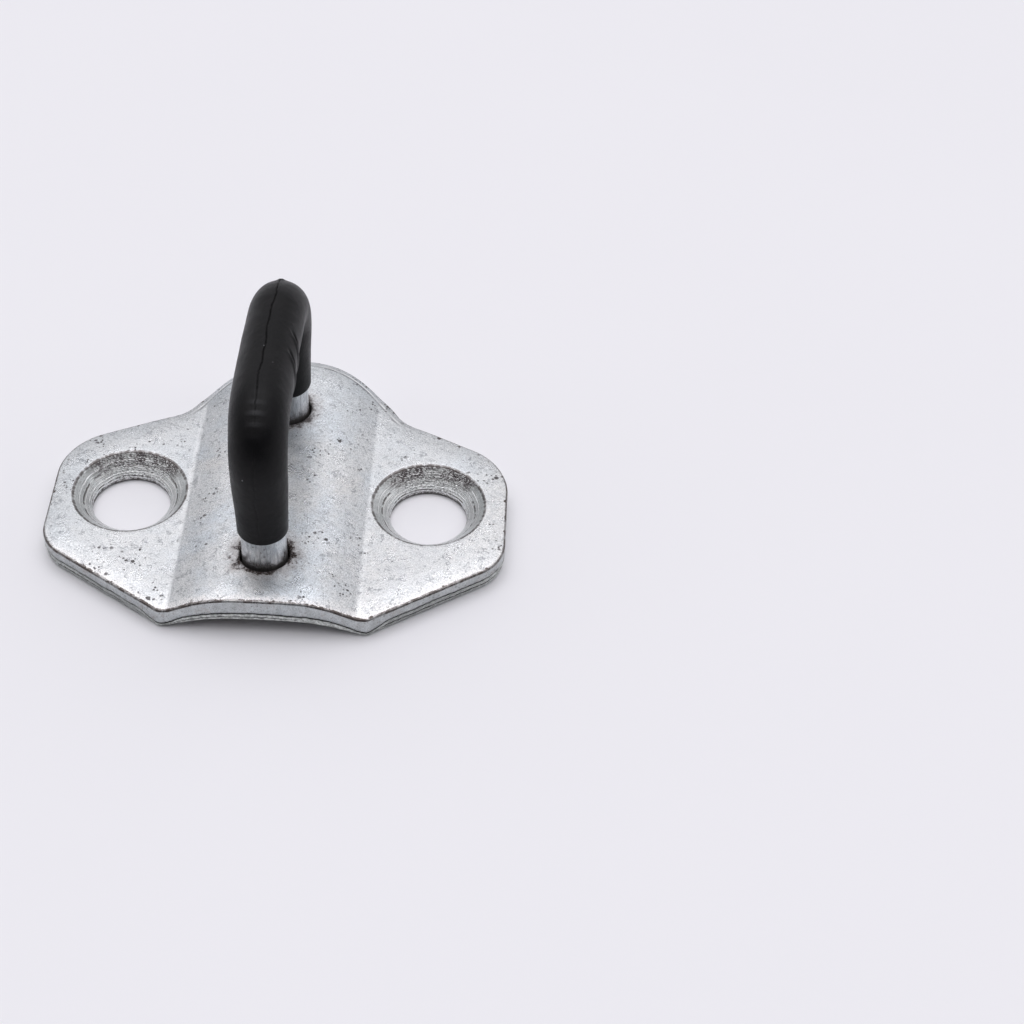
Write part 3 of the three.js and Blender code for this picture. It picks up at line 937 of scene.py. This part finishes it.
def scratches(p):
    """Short curls, and drags along one direction, both only in patches."""
    along_drags = p.stretched((0.09, 2.4, 1.0), 0.6, 3.0)
    curls = p.stripe(p.noise(1.0, 2.0, 0.6, shift=3.0), 0.5, 0.05, 0.02)
    drags = p.stripe(p.noise(1.0, 2.0, 0.6, along_drags), 0.5, 0.016, 0.004)
    return p.largest(
        p.times(curls, p.band(p.noise(0.8, 2.0, shift=21.0), 0.56, 0.62)),
        p.times(drags, p.band(p.noise(0.35, 2.0, shift=25.0), 0.54, 0.62)),
    )


def leg_stains(p):
    """A dark crust with a ragged edge round the loop's two holes, and the brown haze beyond it."""
    crusts = []
    hazes = []
    for leg_y, strength in ((NEAR_LEG_Y, 1.0), (FAR_LEG_Y, 0.8)):
        uneven = p.times(p.noise(0.55, 4.0, 0.75, shift=leg_y), 5.0)
        ragged = p.add(p.from_axis(LOOP_X, leg_y), uneven)
        crusts.append(p.times(p.band(ragged, 7.1, 6.5), strength))
        hazes.append(p.times(p.band(ragged, 8.8, 6.2), 0.6 * strength))
    crust = p.times(p.largest(*crusts), p.band(p.crust_grain, 0.62, 0.48, 0.2, 1.0))
    return crust, p.largest(*hazes)


def edge_scuffs(p):
    """Brown scuffs on the top edge, with nibbles and spots beside it."""
    worn = p.band(p.noise(0.5, 4.0, 0.75, shift=31.0), 0.34, 0.6, 0.45, 1.0)
    nibbled = p.add(p.edge, p.times(p.noise(1.8, 3.0, 0.7, shift=35.0), 1.6))
    nibbles = p.times(p.band(nibbled, 1.05, 0.92), p.front, worn)
    spots = p.times(p.specks(1.3, 0.45, 0.5, 33.0), p.band(p.ragged_edge, 2.3, 1.4))
    return p.largest(
        p.times(p.band(p.mark("arris"), 0.1, 0.7), worn),
        p.times(p.largest(spots, nibbles), p.band(p.wall, 0.6, 0.1)),
    )


def cut_color(p):
    """The part of the edge that was cut: upright drag lines, dark grain, pits and rust."""
    drag = p.noise(1.0, 4.0, 0.7, p.stretched((0.9, 0.9, 0.5)))
    rusty = p.band(p.noise(0.6, 4.0, 0.7, shift=36.0), 0.54, 0.68, 0.0, 0.5)
    color = p.blend(p.band(drag, 0.3, 0.7), (0.40, 0.425, 0.43), (0.57, 0.60, 0.605))
    color = p.blend(p.band(p.grain, 0.5, 0.38, 0.0, 0.5), color, (0.24, 0.245, 0.24))
    color = p.blend(p.times(p.small_pits, 0.5), color, (0.12, 0.11, 0.10))
    return p.blend(rusty, color, (0.33, 0.29, 0.265))


def torn_color(p):
    """The part of the edge that tore: crumbly, and darker beyond the arch."""
    beyond_arch = p.band(p.from_middle, FRONT_HALF_WIDTH, FRONT_HALF_WIDTH + 4, 0.0, 0.6)
    color = p.blend(p.band(p.torn_grain, 0.36, 0.62), (0.46, 0.475, 0.46), (0.86, 0.885, 0.86))
    return p.blend(p.times(beyond_arch, p.front), color, (0.36, 0.375, 0.37))


def seat_color(p):
    """The countersunk seats: fine turned rings low down, and brown grime high up at the back."""
    broken = p.band(p.noise(0.8, 4.0, 0.7, shift=50.0), 0.42, 0.52)
    dark_rings = p.times(p.low_part, broken, p.band(p.rings, 0.5, 0.42), 0.95)
    bright_rings = p.times(p.low_part, broken, p.band(p.rings, 0.5, 0.58), 0.9)
    shade = p.times(p.behind, p.band(p.radius, SCREW_RADIUS + 0.3, SCREW_RADIUS + 1.4, 0.25, 0.75))
    high_part = p.band(p.radius, SCREW_RADIUS + 1.0, SCREW_RADIUS + 1.6)
    patches = p.band(p.noise(0.45, 4.0, 0.75, shift=51.0), 0.44, 0.54)
    grime = p.times(p.behind, high_part, patches, 0.9)
    pale_chips = p.times(p.behind, p.band(p.chips, 0.53, 0.6, 0.0, 0.85))
    dark_chips = p.times(p.behind, p.band(p.chips, 0.48, 0.4, 0.0, 0.85))
    hole_edge = p.band(p.z, 0.5, 0.25, 0.0, 0.85)
    color = p.blend(p.band(p.mottle, 0.35, 0.65), (0.72, 0.75, 0.75), (0.9, 0.92, 0.92))
    color = p.blend(p.band(p.grain, 0.5, 0.38, 0.0, 0.6), color, (0.42, 0.425, 0.42))
    color = p.blend(dark_rings, color, (0.12, 0.11, 0.105))
    color = p.blend(bright_rings, color, (1.0, 1.0, 0.99))
    color = p.blend(shade, color, (0.36, 0.355, 0.35))
    color = p.blend(grime, color, (0.09, 0.072, 0.076))
    color = p.blend(pale_chips, color, (0.95, 0.96, 0.95))
    color = p.blend(dark_chips, color, (0.07, 0.065, 0.065))
    return p.blend(hole_edge, color, (0.08, 0.075, 0.07))


def paint_plate(piece):
    p = PlatePaint(piece)
    # Along the front edges the zinc is frostier and painted brighter: its grain is real, the brightness a
    # painted highlight.
    frost_and_highlight = p.times(p.band(p.ragged_edge, 3.1, 1.2), p.front, p.band(p.wall, 0.5, 0.0))
    frosty_highlight = p.times(frost_and_highlight, p.band(p.grain, 0.4, 0.54, 0.15, 0.95))
    pits = pit_cover(p)
    crust, haze = leg_stains(p)
    scuffs = edge_scuffs(p)
    cut = p.times(p.wall, p.band(scuffs, 0.0, 1.0, 0.8, 0.1))
    color = foot_highlight_and_shade(p, plain_zinc(p))
    # Painted highlight along the front edges, over the frosty grain.
    color = p.blend(frosty_highlight, color, (0.93, 0.90, 0.885))
    color = p.blend(p.times(pits, 0.92), color, (0.08, 0.072, 0.072))
    color = p.blend(p.times(scratches(p), 0.55), color, (0.2, 0.21, 0.23))
    color = p.blend(haze, color, (0.30, 0.255, 0.24))
    color = p.blend(crust, color, (0.07, 0.055, 0.05))
    color = lip_highlight_and_shade(p, color)
    color = p.blend(p.times(scuffs, 0.92), color, (0.075, 0.055, 0.047))
    color = p.blend(cut, color, cut_color(p))
    color = p.blend(p.torn, color, torn_color(p))
    # The notches cut into the edge are painted near black: painted shade in the grooves.
    color = p.blend(p.band(p.mark("notch"), 0.0, 0.7), color, (0.02, 0.018, 0.017))
    color = p.blend(p.seat, color, seat_color(p))
    color = p.blend(p.times(p.mark("rim"), 0.85), color, (0.12, 0.105, 0.10))
    roughness = p.band(p.noise(0.35, 3.0, shift=4.0), 0.3, 0.7, 0.25, 0.36)
    roughness = p.pick(frost_and_highlight, roughness, 0.5)
    roughness = p.pick(p.largest(p.torn, p.times(pits, 0.6)), roughness, 0.6)
    roughness = p.pick(p.largest(crust, haze), roughness, 0.65)
    roughness = p.pick(p.seat, roughness, 0.34)
    normal = p.bump(p.noise(1.1, 4.0, 0.65), 0.05)
    normal = p.bump(p.grain, 0.045, normal)
    normal = p.bump(p.minus(1.0, pits), 0.04, normal)
    normal = p.bump(p.times(p.torn, p.torn_grain), 0.14, normal)
    normal = p.bump(p.times(crust, p.crust_grain), 0.2, normal)
    normal = p.bump(p.times(p.seat, p.low_part, p.rings), 0.14, normal)
    normal = p.bump(p.times(p.seat, p.behind, p.chips), 0.08, normal)
    p.finish(color, roughness, normal)


def paint_rod(piece):
    p = Paint("rod_steel", piece)
    p.constant("Metallic", 1.0)
    drawn = p.noise(1.0, 3.0, 0.6, p.stretched((3.0, 3.0, 0.25)))
    blotch = p.band(p.noise(0.5, 3.0, 0.6), 0.4, 0.65)
    color = p.blend(blotch, (0.66, 0.685, 0.715), (0.87, 0.885, 0.90))
    color = p.blend(p.band(drawn, 0.45, 0.7, 0.0, 0.6), color, (0.26, 0.27, 0.29))
    # Grime gathers where the rod enters the plate.
    low = p.add(p.z, p.times(p.noise(0.9, 3.0, 0.6, shift=6.0), 1.6))
    grime = p.band(low, CROWN_Z + 1.7, CROWN_Z + 0.9)
    color = p.blend(p.times(grime, 0.8), color, (0.15, 0.13, 0.12))
    pits = p.specks(1.8, 0.3, 0.25)
    color = p.blend(p.times(pits, 0.6), color, (0.1, 0.1, 0.1))
    roughness = p.band(drawn, 0.3, 0.7, 0.2, 0.36)
    roughness = p.pick(grime, roughness, 0.6)
    normal = p.bump(drawn, 0.02)
    normal = p.bump(p.minus(1.0, pits), 0.03, normal)
    p.finish(color, roughness, normal)


def paint_sleeve(piece):
    p = Paint("black_sleeve", piece)
    p.constant("Specular IOR Level", 0.15)
    fine = p.noise(5.5, 3.0, 0.75)
    broad = p.noise(0.3, 3.0, shift=2.0)
    color = p.blend(p.band(broad, 0.35, 0.7), (0.0035, 0.0035, 0.0042), (0.006, 0.0057, 0.0063))
    rubbed = p.band(p.noise(1.0, 3.0, 0.6, p.stretched((1.6, 0.35, 0.35))), 0.55, 0.8)
    color = p.blend(p.times(rubbed, 0.4), color, (0.014, 0.013, 0.014))
    dust = p.specks(1.3, 0.16, 0.02, 3.0)
    color = p.blend(p.times(dust, 0.7), color, (0.3, 0.3, 0.32))
    # The crests of the ribs on the near bend are painted lighter: a painted highlight.
    color = p.blend(p.mark("rib_highlight"), color, (0.04, 0.04, 0.043))
    # The parting line's groove is painted near black, most of all on top: painted shade in the groove.
    line_width = p.band(p.noise(1.4, 3.0, 0.7, shift=70.0), 0.35, 0.65, 0.0, 0.12)
    line = p.band(p.minus(p.mark("line"), line_width), 0.06, -0.04)
    line = p.times(line, p.band(p.z, SLEEVE_HIGH[2] - 3.0, SLEEVE_HIGH[2] - 0.4, 0.12, 0.65))
    color = p.blend(line, color, (0.001, 0.001, 0.001))
    roughness = p.band(broad, 0.3, 0.7, 0.33, 0.43)
    roughness = p.add(roughness, p.band(fine, 0.3, 0.7, -0.03, 0.05))
    roughness = p.pick(line, roughness, 0.9)
    normal = p.bump(p.noise(0.8, 3.0), 0.05)
    normal = p.bump(fine, 0.04, normal)
    p.finish(color, roughness, normal)


def paint_floor(piece):
    p = Paint("studio_floor", piece)
    p.constant("Specular IOR Level", 0.1)
    tone = p.noise(0.01, 2.0)
    color = p.blend(tone, (0.85, 0.842, 0.866), (0.87, 0.862, 0.886))
    roughness = p.band(tone, 0.3, 0.7, 0.75, 0.8)
    p.finish(color, roughness, p.bump(p.noise(0.2, 3.0), 0.02))


# ---- studio ----

CAMERA_PLACE = (33.8, -218.1, 222.7)
CAMERA_PITCH = 45.5  # degrees below the horizon
CAMERA_ROLL = -2.95
CAMERA_YAW = -0.34
CAMERA_LENS = 71.8
FLOOR_GAP = 0.02
FLOOR_SIZE = 3000
LAMP_DIRECTION = (-0.05, 0.2, 0.98)
TENT_COLOR = (0.97, 0.965, 1.0)
OPENING_COLOR = (0.12, 0.12, 0.125)


def make_camera():
    pitch, roll, yaw = (math.radians(a) for a in (CAMERA_PITCH, CAMERA_ROLL, CAMERA_YAW))
    forward = Vector((0, math.cos(pitch), -math.sin(pitch)))
    level = Vector((1, 0, 0))
    down = forward.cross(level)
    right = level * math.cos(roll) + down * math.sin(roll)
    up = forward.cross(right) * -1
    axes = Matrix((right, up, -forward)).transposed()
    data = bpy.data.cameras.new("camera")
    data.lens = CAMERA_LENS
    data.sensor_width = 36
    data.clip_start = 0.01
    camera = bpy.data.objects.new("camera", data)
    camera.matrix_world = (Matrix.Rotation(yaw, 3, "Z") @ axes).to_4x4()
    camera.location = Vector(CAMERA_PLACE) * MM
    bpy.context.scene.collection.objects.link(camera)
    bpy.context.scene.camera = camera


def make_floor():
    bpy.ops.mesh.primitive_plane_add(size=FLOOR_SIZE * MM, location=(0, 0, -FLOOR_GAP * MM))
    floor = bpy.context.object
    floor.name = "floor"
    paint_floor(floor)


def make_world():
    """A pale tent of light, open and darker low down on the side of the straight edge."""
    world = bpy.data.worlds.new("studio")
    world.use_nodes = True
    tree = world.node_tree
    background = tree.nodes["Background"]

    def node(kind, inputs, **settings):
        return add_node(tree, kind, inputs, **settings).outputs

    def band(value, low, high):
        inputs = {"Value": value, "From Min": low, "From Max": high}
        return node("ShaderNodeMapRange", inputs, interpolation_type="SMOOTHSTEP")[0]

    def math_node(operation, *values):
        return node("ShaderNodeMath", dict(enumerate(values)), operation=operation)[0]

    direction = node("ShaderNodeTexCoord", {})["Generated"]
    across, depth, height = node("ShaderNodeSeparateXYZ", {0: direction})
    lamp_inputs = {0: direction, 1: LAMP_DIRECTION}
    toward_lamp = node("ShaderNodeVectorMath", lamp_inputs, operation="DOT_PRODUCT")[1]
    roof = math_node("MULTIPLY_ADD", band(height, 0.5, 0.85), 0.55, 0.65)
    lamp = math_node("MULTIPLY_ADD", band(toward_lamp, 0.88, 0.96), 1.6, roof)
    brighter_right = math_node("MULTIPLY_ADD", across, 0.03, 1.0)
    level = math_node("MULTIPLY", lamp, brighter_right)
    opening = math_node("MULTIPLY", band(depth, -0.15, -0.5), band(height, 0.97, 0.72))
    tent_inputs = {"Factor": opening, 6: (*TENT_COLOR, 1), 7: (*OPENING_COLOR, 1)}
    tent = node("ShaderNodeMix", tent_inputs, data_type="RGBA")[2]
    tree.links.new(tent, background.inputs["Color"])
    tree.links.new(level, background.inputs["Strength"])
    bpy.context.scene.world = world
    bpy.context.scene.view_settings.view_transform = "Standard"


# ---- assembly ----

def place(piece, node, slot):
    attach(piece, "root")
    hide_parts(node)


plate = make_plate()
paint_plate(plate)
place(plate, "base_plate", "zinc_plated_steel")

rod = make_rod()
paint_rod(rod)
place(rod, "striker_loop", "drawn_rod_steel")

sleeve = make_sleeve()
paint_sleeve(sleeve)
place(sleeve, "loop_sleeve", "black_sleeve")

make_camera()
make_floor()
make_world()
